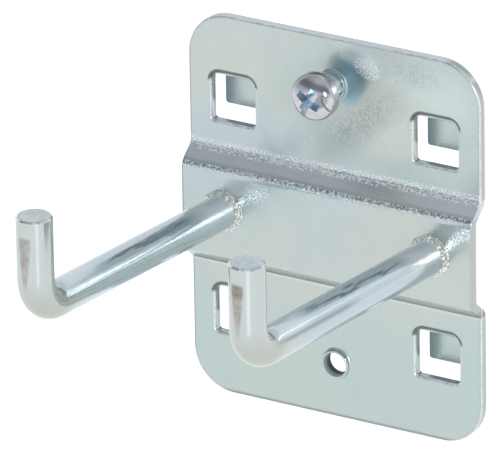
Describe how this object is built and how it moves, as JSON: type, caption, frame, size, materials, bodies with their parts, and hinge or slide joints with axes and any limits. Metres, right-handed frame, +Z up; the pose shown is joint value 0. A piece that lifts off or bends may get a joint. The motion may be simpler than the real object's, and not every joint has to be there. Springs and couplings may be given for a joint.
{
  "type": "double tool holder",
  "caption": "Zinc-plated sheet-steel plate with lanced tongues for a perforated tool panel, a pressed band carrying bent round-rod hooks, and a cross-recess locking screw.",
  "frame": {"origin": "middle of the plate, on the plane of the back faces that lie on the panel", "axes": "+X to the right as the user faces the panel, +Y into the panel, +Z up; the hooks point along -Y"},
  "size_m": [0.0546, 0.0706, 0.0676],
  "materials": {
    "plated_sheet": "bright zinc plating on cold-rolled sheet, satin, with a fine grain",
    "plated_rod": "bright zinc plating on drawn rod, glossy along its length",
    "plated_weld": "zinc plating over a rough weld ring, faintly yellow",
    "plated_screw": "bright zinc plating on a cold-headed screw, close to a mirror"
  },
  "bodies": {
    "holder": {"back_plate": "plated_sheet", "left_hook": "plated_rod", "right_hook": "plated_rod", "left_weld_bead": "plated_weld", "right_weld_bead": "plated_weld"},
    "screw": {"locking_screw": "plated_screw"}
  },
  "joints": [
    {"name": "screw_drive", "type": "slide", "parent": "holder", "child": "screw", "axis": [0, 1, 0], "range_m": [-0.0018, 0.0035]}
  ]
}
